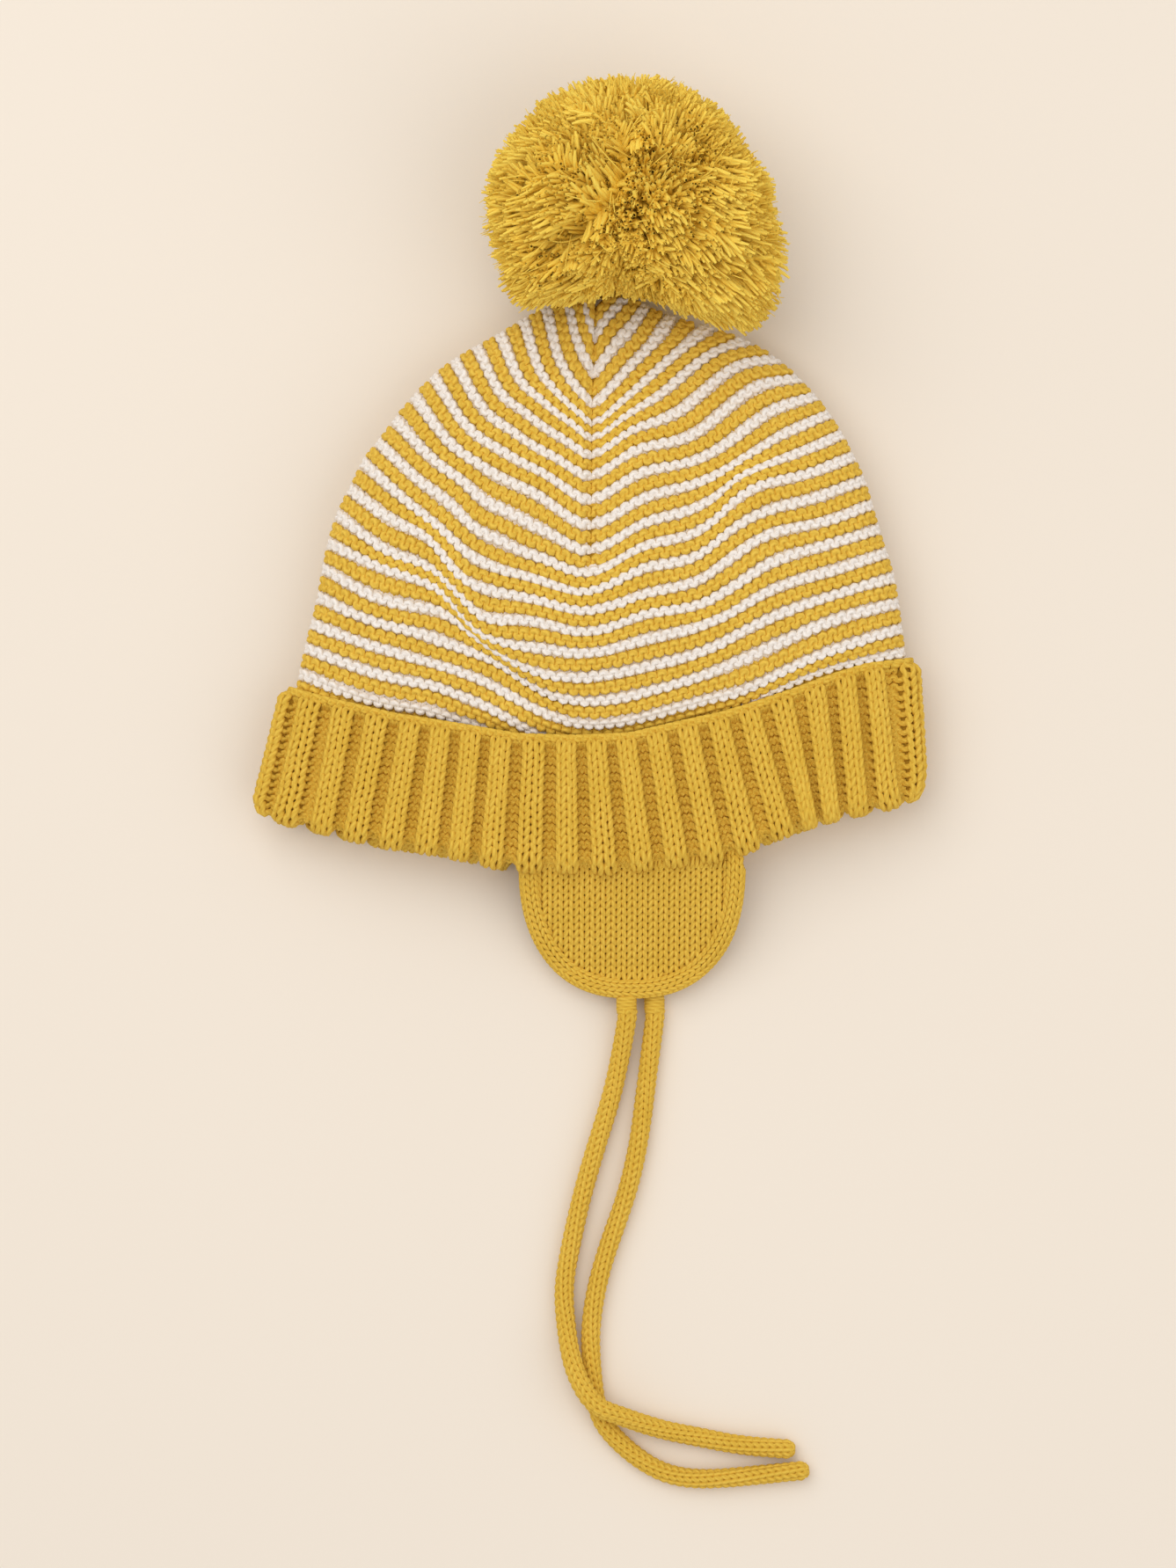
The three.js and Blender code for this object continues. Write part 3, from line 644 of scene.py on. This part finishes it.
def cuff_grid():
    """The cuff's middle surface: rows up from inside, round the bottom fold to the top; ribs round."""
    ribs = np.arange(0, RIBS + 1e-6, 1 / GRID_COLUMNS) + LEFT_TURN
    near = ribs <= RIGHT_TURN
    rows = []
    turn = FOLD * math.pi / 2
    tall = OUTER_ROWS * CUFF_ROW
    reach = np.arange(-turn - INNER_ROWS * CUFF_ROW, tall + 0.01, CUFF_ROW / 4)
    for s in reach:
        angle = np.clip(s / FOLD, -math.pi / 2, math.pi / 2)
        inset = FOLD * (1 - math.sin(angle))
        climb = FOLD * (1 - math.cos(angle)) + max(0.0, abs(s) - turn)
        v = climb / (tall - turn + FOLD)
        inset += 1.3 * smooth((v - 0.9) / 0.13) * (s > 0)
        left = np.interp(v, [0, 0.35, 1], [-94.6, -91.8, -86.4]) + 1.5 + inset
        right = np.interp(v, [0, 0.2, 1], [93.8, 94.6, 92.8]) - 1.5 - inset
        centre, wide = (left + right) / 2, (right - left) / 2
        furrows = (1 - v) * np.array(FURROW_BOTTOM) + v * np.array(FURROW_TOP)
        out = np.clip((furrows - centre) / wide, -0.985, 0.985)
        knots = [LEFT_TURN, *range(1, 21), RIGHT_TURN]
        angles = [math.pi, *np.arccos(np.sign(out) * np.abs(out) ** (SECTION_POWER / 2)), 0.0]
        theta = np.empty(len(ribs))
        theta[near] = np.interp(ribs[near], knots, angles) * 0.4 + 0.6 * spline(knots, angles, ribs[near])
        fine = np.linspace(0, -math.pi, 400)
        power = 2 / SECTION_POWER
        arc = np.stack([np.sign(np.cos(fine)) * np.abs(np.cos(fine)) ** power * wide,
                        np.abs(np.sin(fine)) ** power * (CUFF_MIDDLE - CUFF_UNDER - RIB_SKIN - inset)], 1)
        run = lengths(arc)
        share = (ribs[~near] - RIGHT_TURN) / (RIBS + LEFT_TURN - RIGHT_TURN)
        theta[~near] = np.interp(share * run[-1], run, fine)
        across = np.sign(np.cos(theta)) * np.abs(np.cos(theta)) ** power
        level = spline(knots, [-1.0, *out, 1.0], ribs[near])
        toward = smooth((np.abs(level) - 0.72) / 0.2)
        across[near] = np.clip(across[near] * toward + level * (1 - toward), -1, 1)
        x = centre + wide * across
        rise = (1 - np.abs(across) ** SECTION_POWER) ** (1 / SECTION_POWER)
        z = np.where(
            theta > 0,
            CUFF_MIDDLE + (CUFF_CREST - CUFF_MIDDLE - RIB_SKIN - inset) * rise,
            CUFF_MIDDLE - (CUFF_MIDDLE - CUFF_UNDER - RIB_SKIN - inset) * np.minimum(1, 1.15 * rise),
        )
        low = np.interp(x, *np.array(CUFF_BOTTOM).T) + 0.4
        high = np.interp(x, *np.array(CUFF_TOP).T)
        y = (1 - v) * low + v * high
        px, py = seen(x, y, np.maximum(z, CUFF_MIDDLE))
        rows.append(np.stack([px, py, z], axis=1))
    grid = np.array(rows)
    for _ in range(3):
        grid[:, 1:-1, 1] = (grid[:, :-2, 1] + 2 * grid[:, 1:-1, 1] + grid[:, 2:, 1]) / 4
    return reach, grid


cuff_reach, cuff_points = cuff_grid()
cuff = Sheet(cuff_points)


def cuff_at(s, rib, off):
    """Points on the cuff: s mm from its bottom fold, outside or (below 0) inside, and round by ribs."""
    row = np.interp(s, cuff_reach, np.arange(len(cuff_reach)))
    return cuff.at(row, ((rib - LEFT_TURN) % RIBS) * GRID_COLUMNS, off)


def rib_relief(column, s):
    """How far the fabric stands out at a column, two knit columns to two purl ones."""
    wave = np.tanh(-2.2 * np.cos(2 * math.pi * column / 4)) / math.tanh(2.2)
    deep = np.where(s > 0, 2.0, 0.8)
    open_furrow = smooth((OUTER_ROWS * CUFF_ROW - s - 0.5) / 2.6)
    return deep * (wave * open_furrow + 0.45 * (1 - open_furrow))


def rib_of(column):
    """Where a stitch column lies, counted in ribs: the furrows are narrower than the ribs."""
    return column / 4 - 0.36 * np.sin(2 * math.pi * column / 4) / (2 * math.pi)


def cuff_row(s, samples=SAMPLES):
    """A row of stitches round the cuff, knit on the ribs and purl in the furrows."""
    columns = 4 * RIBS
    tau = np.arange(0, columns * samples + 4) / samples + 30.5
    t = 2 * math.pi * tau
    face = np.tanh(-7 * np.cos(2 * math.pi * tau / 4))
    wobble = np.interp(tau - 30, np.arange(columns + 3), rng.normal(0, 1, columns + 3))
    wander = np.interp(tau - 30, np.arange(columns + 3), rng.normal(0, 1, columns + 3))
    across = tau + 0.2 * np.sin(2 * t) + 0.03 * wander
    rib = rib_of(across)
    up = s - 1.62 * (1 + 0.04 * wobble) * np.cos(t) + 0.06 * wander
    off = -0.5 * np.cos(2 * t) * face + rib_relief(across, up) + 0.05 * wobble
    return cuff_at(up, rib, off)


def cuff_edging(s, lean):
    """A chain of small loops along the cuff's top edge."""
    tau = np.arange(0, RIBS * 4 * 8 + 3) / 8
    t = 2 * math.pi * tau
    rib = (tau + 0.22 * np.sin(t * 2 + lean)) / 4
    return cuff_at(s + 0.4 * np.cos(t + lean), rib, 0.85 + 0.3 * np.sin(t + lean))


fold_reach = FOLD * math.pi / 2
outer_rows = [cuff_row(CUFF_ROW * (i - 0.5)) for i in range(OUTER_ROWS)]
outer_rows.append(cuff_edging(OUTER_ROWS * CUFF_ROW - 0.9, lean=0.0))
outer_rows.append(cuff_edging(OUTER_ROWS * CUFF_ROW - 0.2, lean=math.pi))
inner_rows = [cuff_row(-CUFF_ROW * (i + 1.5), 8) for i in range(INNER_ROWS)]
turned_up = yarn_piece("cuff_rib_outer", outer_rows, 0.84, rib_mustard)
inner_band = yarn_piece("cuff_rib_inner", inner_rows, 0.82, rib_mustard, 5)
column = np.arange(0, 4 * RIBS + 8, 0.05)
lining_rows = np.arange(1, len(cuff_reach) - 2, 3)
lining_ribs = np.arange(cuff_points.shape[1])
lining_columns = np.interp(lining_ribs / GRID_COLUMNS + LEFT_TURN, rib_of(column), column)
relief = rib_relief(lining_columns[None, :], cuff_reach[lining_rows][:, None])
# a sheet behind the cuff's stitches in the painted-shade colour, darkening the gaps between them
lining, _ = cuff.at(
    np.broadcast_to(lining_rows[:, None].astype(float), relief.shape),
    np.broadcast_to(lining_ribs[None, :].astype(float), relief.shape),
    relief - 0.75,
)
split = int(np.searchsorted(cuff_reach[1:-2:3], -fold_reach)) + 1
outside, inside = lining[split - 1 :], lining[:split]
cuff_outer_sheet = mesh_piece(
    "cuff_fabric_outer", outside.reshape(-1, 3), grid_faces(*outside.shape[:2]), backing_shade
)
cuff_inner_sheet = mesh_piece(
    "cuff_fabric_inner", inside.reshape(-1, 3), grid_faces(*inside.shape[:2]), backing_shade
)
for piece in (turned_up, inner_band, cuff_outer_sheet, cuff_inner_sheet):
    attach(piece, "hat")
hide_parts("cuff_near_turnup", "cuff_far_turnup")
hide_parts("cuff_near_band", "cuff_far_band")


# ---- ear flaps -------------------------------------------
flap_low, flap_high = node_corners("flap_near_border")
FLAP_X, FLAP_HALF = (flap_low[0] + flap_high[0]) / 2, (flap_high[0] - flap_low[0]) / 2
FLAP_TIP_Y = flap_low[1]
FLAP_BASE_Y, FLAP_POWER, BORDER = -92.0, 2.35, 5.4
FLAP_TOP_Y = -86.0  # where the flap's knitting starts, up under the cuff
FLAP_SLOPES = {"near": ((-97.5, 15.0), (-120, 6.35)), "far": ((-97.5, 9.6), (-120, 1.95))}
FLAP_STITCH, FLAP_ROW = 3.0, 2.1


def flap_height(side, y):
    """The height of the flap's middle surface, which slopes down from the cuff and then lies level."""
    (root_y, root_z), (level_y, level_z) = FLAP_SLOPES[side]
    share = np.clip((root_y - y) / (root_y - level_y), -0.24, 1.08)
    return root_z + (level_z - root_z) * share + 0.35 * (side == "near") + 0.6


def flap_half(y, inset):
    """Half the flap's width at y, inset mm inside its outline."""
    deep = np.clip((FLAP_BASE_Y - y) / (FLAP_BASE_Y - FLAP_TIP_Y - inset), 0, 1)
    return (FLAP_HALF - inset) * (1 - deep**FLAP_POWER) ** (1 / FLAP_POWER)


def flap_point(side, x, y, off):
    """A point off mm above the flap's middle surface, which swells and sinks a little."""
    z = flap_height(side, y)
    slope = flap_height(side, y + 0.5) - flap_height(side, y - 0.5)
    out = unit(np.stack([np.zeros_like(x), -slope, np.ones_like(x)], axis=-1))
    swell = 0.5 * np.sin(0.16 * (x - FLAP_X)) * np.sin(0.11 * (y + 96))
    return np.stack([x, y, z], axis=-1) + out * (off + swell)[..., None], out


def flap_row(side, y, samples=SAMPLES):
    """A row of knit stitches across the flap inside its border."""
    half = flap_half(y + 0.6, BORDER + 0.5)
    count = 2 * int(half / FLAP_STITCH + 0.92)
    if count < 2:
        return None
    tau = np.arange(0, count * samples + 1) / samples
    t = 2 * math.pi * tau
    wobble = np.interp(tau, np.arange(count + 2), rng.normal(0, 1, count + 2))
    # the count is even, so the columns of all the rows are in line
    x = FLAP_X + (-count / 2 + tau + 0.21 * np.sin(2 * t)) * FLAP_STITCH
    up = y - 1.62 * (1 + 0.04 * wobble) * np.cos(t)
    off = -0.48 * np.cos(2 * t) + 0.05 * wobble
    gap = np.minimum(tau, count - tau)
    return flap_point(side, x, up, off - 0.9 * np.exp(-((gap / 0.35) ** 2)))


def rim_line(inset):
    """The flap's outline, inset mm inside it, evenly, with the directions out of it."""
    power = 2 / FLAP_POWER
    angle = np.linspace(0, math.pi, 721)
    half, deep = FLAP_HALF - inset, FLAP_BASE_Y - FLAP_TIP_Y - inset
    x = FLAP_X - np.sign(np.cos(angle)) * np.abs(np.cos(angle)) ** power * half
    y = FLAP_BASE_Y - np.sin(angle) ** power * deep
    line = np.stack([x, y], axis=1)
    up = np.array([[0.0, 8.0], [0.0, 4.0]])
    return np.concatenate([line[:1] + up, line, line[-1:] + up[::-1]])


def flap_border(side):
    """Short rows across the border, two stitches wide, laid one after another round the rim."""
    outer, inner = rim_line(0.9), rim_line(BORDER + 0.1)
    run = lengths((outer + inner) / 2)
    count = round(run[-1] / FLAP_ROW)
    strands = []
    tau = np.arange(0, 2 * SAMPLES + 1) / SAMPLES
    t = 2 * math.pi * tau
    for i in range(count + 1):
        along = run[-1] * i / count - 1.55 * np.cos(t) - 1.3 * (tau / 2 - 0.5)
        along = np.clip(along, 0, run[-1])
        a = np.stack([np.interp(along, run, inner[:, j]) for j in (0, 1)], axis=1)
        b = np.stack([np.interp(along, run, outer[:, j]) for j in (0, 1)], axis=1)
        across = ((tau + 0.2 * np.sin(2 * t)) / 2)[:, None]
        xy = a + (b - a) * across
        round_off = 0.55 * np.sin(math.pi * np.clip(across[:, 0], 0, 1)) + 0.1
        strands.append(flap_point(side, xy[:, 0], xy[:, 1], -0.6 * np.cos(2 * t) + round_off))
    edge = rim_line(0.75)[4:-4:2]
    strands.append(flap_point(side, edge[:, 0], edge[:, 1], 0.35 * np.sin(np.arange(len(edge)) * 1.1)))
    return strands


def ear_flap(side):
    """The flap's knitted middle, its border and the fabric behind them."""
    rows = [flap_row(side, y) for y in np.arange(FLAP_TOP_Y, FLAP_TIP_Y + BORDER - 0.4, -FLAP_ROW)]
    panel = yarn_piece(f"flap_{side}_stitches", [r for r in rows if r], 0.74, rib_mustard)
    border = yarn_piece(f"flap_{side}_border_stitches", flap_border(side), 0.64, rib_mustard)
    v, u = np.meshgrid(np.linspace(0, 1, 30), np.linspace(-1, 1, 45), indexing="ij")
    y = FLAP_TOP_Y + 1.5 + (FLAP_TIP_Y + 1.2 - FLAP_TOP_Y - 1.5) * v
    x = FLAP_X + flap_half(y, 1.1) * u
    # a sheet behind the flap's stitches in the painted-shade colour, darkening the gaps between them
    backing, _ = flap_point(side, x, y, np.full(x.shape, -0.3))
    fabric = mesh_piece(f"flap_{side}_fabric", backing.reshape(-1, 3), grid_faces(30, 45), backing_shade)
    for piece in (panel, border, fabric):
        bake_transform(piece)
    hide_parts(f"flap_{side}_panel")
    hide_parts(f"flap_{side}_border")


def root_seam(side):
    """The seam that holds the flap inside the cuff."""
    tau = np.arange(0, 40 * 6 + 1) / 6
    x = FLAP_X - FLAP_HALF + 6 + (2 * FLAP_HALF - 12) * tau / 40
    z = flap_height(side, np.full(len(x), -90.5)) + 1.5 * np.cos(2 * math.pi * tau)
    seam = np.stack([x, -90.6 + 1.9 * np.sin(2 * math.pi * tau), z], axis=1)
    up = np.tile([0, 0, 1.0], (len(x), 1))
    stitches = yarn_piece(f"flap_{side}_root_stitches", [(seam, up)], 0.6, rib_mustard)
    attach(stitches, "hat")
    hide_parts(f"flap_{side}_root_seam")


for side in ("near", "far"):
    ear_flap(side)
    root_seam(side)


# ---- seams and gathered top ------------------------------
def middle_seam(side, start):
    """The stitches of the crown's middle seam, which weave across its column of the grid."""
    k = np.arange(-0.4, DART_ROWS - 0.2, 0.04)
    turn = 2 * math.pi * k / 0.45
    sway = start + (4.5 * np.sin(turn) if side == "near" else 4.5 + 4.5 * np.sin(turn))
    seam = crown.at((k + 1) * GRID_ROWS, sway, -1.5 + 0.35 * np.cos(turn))
    stitches = yarn_piece(f"crown_{side}_seam_stitches", [seam], 0.5, rib_mustard)
    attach(stitches, "hat")
    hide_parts(f"crown_{side}_dart_seam")


middle_seam("near", SEAM_COLUMN)
middle_seam("far", 0)
TOP = middle_of("crown_top_gather")
KNOT = middle_of("pom_anchor_knot")
POM = middle_of("pom_left_lobe", "pom_right_lobe")


def drawstring():
    """The yarn that draws the crown's top in, as a flat, uneven spiral."""
    turn = np.linspace(0, 2 * math.pi * 5, 300)
    wide = 1.0 + 4.6 * turn / turn[-1] + 0.3 * np.sin(turn * 6.3)
    x = TOP[0] + wide * np.cos(turn)
    y = TOP[1] + 1.0 - 0.26 * wide + 0.2 * np.cos(turn * 5.1)
    line = np.stack([x, y, TOP[2] + wide * np.sin(turn)], axis=1)
    out = np.tile([0, 1.0, 0], (len(turn), 1))
    gather = yarn_piece("crown_top_drawstring", [(line, out)], 1.05, mustard)
    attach(gather, "hat")
    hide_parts("crown_top_gather")


def inner_knot():
    """The knot inside the crown: three loops of yarn, each turned past the last."""
    turn = np.linspace(0, 2 * math.pi, 120)
    a = np.stack([2.0 * np.cos(turn), 1.2 * np.sin(2 * turn), 1.5 * np.sin(turn)], axis=1)
    strands = []
    for tilt in (0.0, 1.05, 2.1):
        c, s = math.cos(tilt), math.sin(tilt)
        line = np.stack([c * a[:, 0] - s * a[:, 2], a[:, 1], s * a[:, 0] + c * a[:, 2]], axis=1) + KNOT
        strands.append((line, unit(line - KNOT)))
    knot = yarn_piece("pompom_knot", strands, 0.75, mustard)
    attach(knot, "hat")
    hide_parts("pom_anchor_knot")


def tying_yarn():
    """Four strands twisted round each other, from the crown's top into the pompom."""
    reach = unit(POM - TOP)
    side_a = unit(np.cross(reach, [1.0, 0, 0]))
    side_b = np.cross(reach, side_a)
    run = np.linspace(-2, 10, 60)
    strands = []
    for phase in (0.0, math.pi / 2, math.pi, 1.5 * math.pi):
        turn = run / 1.6 + phase
        twist = np.cos(turn)[:, None] * side_a + np.sin(turn)[:, None] * side_b
        line = TOP + run[:, None] * reach + 0.85 * twist
        strands.append((line, np.tile(side_a, (len(run), 1))))
    tails = yarn_piece("pompom_tying_yarn", strands, 0.62, mustard)
    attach(tails, "pom_anchor")
    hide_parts("pom_anchor_tails")


drawstring()
inner_knot()
tying_yarn()


# ---- pompom ----------------------------------------------
pom_low, pom_high = node_corners("pom_left_lobe", "pom_right_lobe")
POM_HALF_HEIGHT = (pom_high[2] - pom_low[2]) / 2
# The pompom's outline as it lies: it bulges down over the crown's right shoulder.
POM_OUTLINE = [(53.5, 91.5), (52, 100), (44.5, 111), (40.5, 118), (28.5, 127.8), (19.5, 130.3),
               (3, 130.3), (-9, 127.5), (-21, 116.5), (-29, 100.5), (-28, 83), (-20, 67.5), (-9, 68),
               (8, 71.5), (18, 69.3), (30, 64), (44, 60), (52, 66), (55, 76)]
PARTING = unit(np.array([-0.921, 0.388, 0.0]))  # square to the furrow where the two halves meet
PARTING_AT = np.array([4.0, 101.0, 33.2])
FURROW = [(9, 114), (6, 102), (-2, 90), (-13, 81)]  # the furrow's course over the pompom's top
TUFTS, PER_TUFT = 400, 20
SHORT_ENDS, LOOSE_FIBRES = 2400, 1200
CORE_SHARE = 0.76  # of the way out to the ends
CORE_ROWS, CORE_COLUMNS = 41, 97
POM_LOW, POM_HIGH = 0.9, 66.0  # heights that the yarn stays between
pom_rng = np.random.default_rng(5)


def sphere(count):
    """Directions spread evenly over a sphere."""
    i = np.arange(count) + 0.5
    height = 1 - 2 * i / count
    turn = i * math.pi * (3 - math.sqrt(5))
    flat = np.sqrt(1 - height**2)
    return np.stack([flat * np.cos(turn), flat * np.sin(turn), height], axis=1)


def pompom_strands():
    """Cut ends of yarn in leaning, wavy tufts, over shorter ends that fill between, and loose fibres."""
    strands, radii = [], []
    ox, oy = seen(*np.array(POM_OUTLINE).T, POM[2])
    angle = np.arctan2(oy - POM[1], ox - POM[0])
    order = np.argsort(angle)
    angle, wide = angle[order], np.hypot(ox - POM[0], oy - POM[1])[order]
    course = np.stack(seen(*np.array(FURROW).T, 60.0), axis=1)

    def outward(direction, share):
        """The point that share of the way out to the pompom's surface."""
        reach = np.interp(math.atan2(direction[1], direction[0]), angle, wide, period=2 * math.pi)
        return POM + direction * np.array([reach, reach, POM_HALF_HEIGHT]) * share

    def furrow(place):
        """How far a place is from the furrow, and the direction away from it."""
        best = (1e9, np.zeros(3))
        for start, end in zip(course[:-1], course[1:]):
            d = end - start
            gap = place[:2] - start
            gap = gap - d * min(1, max(0, gap @ d / (d @ d)))
            size = math.hypot(*gap)
            if size < best[0]:
                best = (size, np.array([*gap, 0.0]) / max(size, 1e-6))
        return best

    def shoulder(x, y):
        """The lowest that the pompom reaches over the crown, with room to sway on its right."""
        right = smooth((x - 8) / 20)
        return (20.0 + 6.0 * right + 0.35 * (70 - y)) * smooth((72 + 5 * right - y) / 4)

    def strand(tip, root, size, curl, thick):
        """One end of yarn from the root's side of the middle out to its tip, parted at the furrow."""
        goal = outward(tip, size)
        aside, away = furrow(goal)
        on_top = smooth((goal[2] - 42) / 14)
        goal = POM + (goal - POM) * (1 - 0.28 * on_top * math.exp(-((aside / 3.4) ** 2)))
        goal = goal + away * 1.2 * on_top * math.exp(-((aside / 6) ** 2))
        u = np.linspace(0, 1, 8)[:, None]
        base = outward(root, 0.45)
        line = base + (goal - base) * u + curl * np.sin(math.pi * u) * 0.8 + pom_rng.normal(0, 0.45, 3) * u**2
        line[:, 2] = np.maximum(np.clip(line[:, 2], POM_LOW, POM_HIGH), shoulder(line[:, 0], line[:, 1]))
        strands.append((line, np.tile(unit(np.cross(tip, [0.3, 0.5, 0.8])), (8, 1))))
        radii.append(thick)

    for tuft in unit(sphere(TUFTS) + pom_rng.normal(0, 0.06, (TUFTS, 3))):
        lean = pom_rng.normal(0, 0.17, 3)
        sweep_by = pom_rng.normal(0, 2.0, 3)
        tall = 1 + pom_rng.normal(0, 0.03)
        for _ in range(PER_TUFT):
            tip = unit(tuft + pom_rng.normal(0, 0.075, 3))
            root = unit(tip + lean + pom_rng.normal(0, 0.05, 3))
            size = min(1.03, tall * (1 + pom_rng.normal(0, 0.022)) * 0.985)
            strand(tip, root, size, sweep_by + pom_rng.normal(0, 0.7, 3), 0.47 + 0.19 * pom_rng.random())
    for tip in unit(sphere(SHORT_ENDS) + pom_rng.normal(0, 0.03, (SHORT_ENDS, 3))):
        strand(tip, tip, 0.90 + 0.06 * pom_rng.random(), pom_rng.normal(0, 1.2, 3), 0.82)
    for tip in unit(sphere(LOOSE_FIBRES) + pom_rng.normal(0, 0.2, (LOOSE_FIBRES, 3))):
        root = unit(tip + pom_rng.normal(0, 0.25, 3))
        strand(tip, root, 1.0 + 0.05 * pom_rng.random(), pom_rng.normal(0, 2.5, 3), 0.16)
    level, turn = np.linspace(-1, 1, CORE_ROWS), np.linspace(0, 2 * math.pi, CORE_COLUMNS)
    v, u = np.meshgrid(level, turn, indexing="ij")
    flat = np.sqrt(np.clip(1 - v**2, 0, 1))
    core = []
    for direction in np.stack([flat * np.cos(u), flat * np.sin(u), v], axis=-1).reshape(-1, 3):
        place = outward(direction, CORE_SHARE)
        aside, _ = furrow(place)
        parted = smooth((place[2] - 38) / 14) * math.exp(-((aside / 8) ** 2))
        place = POM + (place - POM) * (1 - 0.45 * parted)
        place[2] = max(place[2], 2.0 + shoulder(place[0], place[1]))
        core.append(place)
    return strands, radii, np.array(core)


strands, radii, core = pompom_strands()
core_piece = mesh_piece("pompom_dense_middle", core, grid_faces(CORE_ROWS, CORE_COLUMNS), pom_mustard_painted_light)
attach(core_piece, "pompom")
is_left = [(line[-1] - PARTING_AT) @ PARTING > 0 for line, _ in strands]
for name, wanted, node in (("left", True, "pom_left_lobe"), ("right", False, "pom_right_lobe")):
    chosen = [i for i, left in enumerate(is_left) if left == wanted]
    ends, thick = [strands[i] for i in chosen], [radii[i] for i in chosen]
    half_pom = yarn_piece(f"pompom_{name}_half", ends, thick, pom_mustard_painted_light, sides=5, tips=0.6, root=2.2)
    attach(half_pom, "pompom")
    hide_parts(node)


def binding_thread():
    """Three turns of yarn round the pompom's middle, where its two halves meet."""
    turn = np.linspace(0, 2 * math.pi * 3, 240)
    across = unit(np.cross(PARTING, [0, 0, 1.0]))
    loop = np.cos(turn)[:, None] * across + np.sin(turn)[:, None] * np.array([0, 0, 1.0])
    line = POM + 6.2 * loop + PARTING * np.linspace(-1.2, 1.2, len(turn))[:, None]
    binding = yarn_piece("pompom_binding", [(line, unit(line - POM))], 0.9, mustard)
    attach(binding, "pompom")
    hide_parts("pom_binding_thread")


binding_thread()
